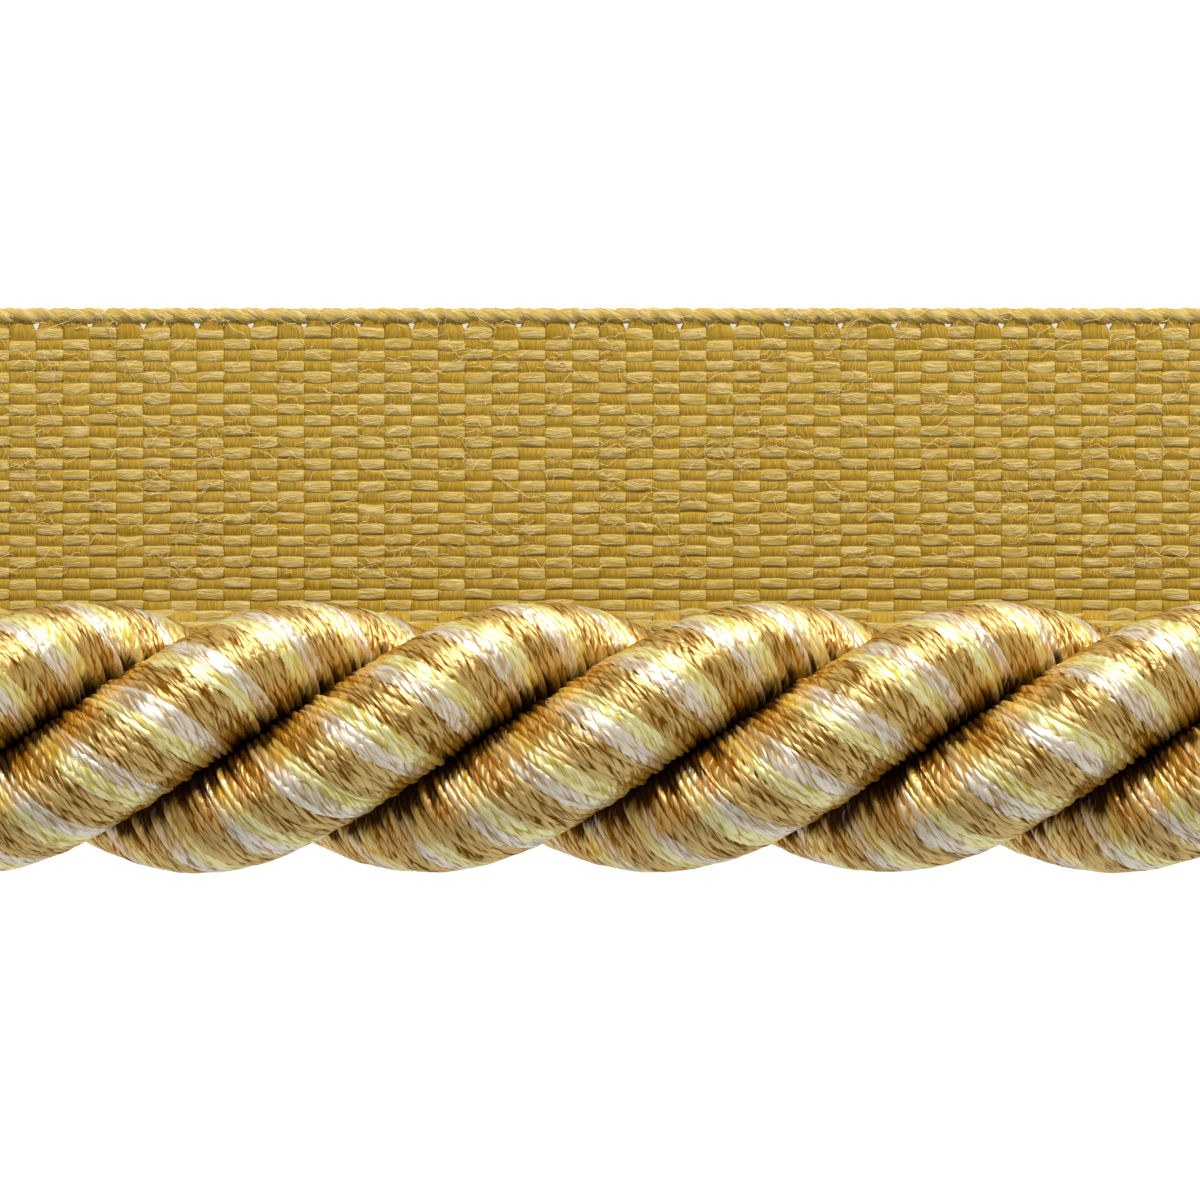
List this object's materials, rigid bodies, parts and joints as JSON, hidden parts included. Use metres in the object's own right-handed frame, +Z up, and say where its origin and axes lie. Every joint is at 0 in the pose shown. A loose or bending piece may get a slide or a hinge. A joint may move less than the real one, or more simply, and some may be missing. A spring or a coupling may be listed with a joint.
{
  "type": "lip cord trim",
  "caption": "Cut length of upholstery lip cord: a thick twisted cord of wrapped shiny yarns beside a flat woven sew-in tape.",
  "frame": {"origin": "on the surface that the trim lies on, below the middle of its whole length and width", "axes": "+X along the trim, +Y from the cord towards the lip's free edge, +Z up from the surface"},
  "size_m": [0.0964, 0.02, 0.0094],
  "materials": {
    "cord_yarn": "shiny twisted yarns in bands of bronze gold, silver white and pale yellow",
    "lip_weave": "matte spun yarn in a plain weave, old gold"
  },
  "bodies": {
    "root": {"cord_ply_1": "cord_yarn", "cord_ply_2": "cord_yarn", "cord_ply_3": "cord_yarn", "lip_tape": "lip_weave"}
  },
  "joints": []
}
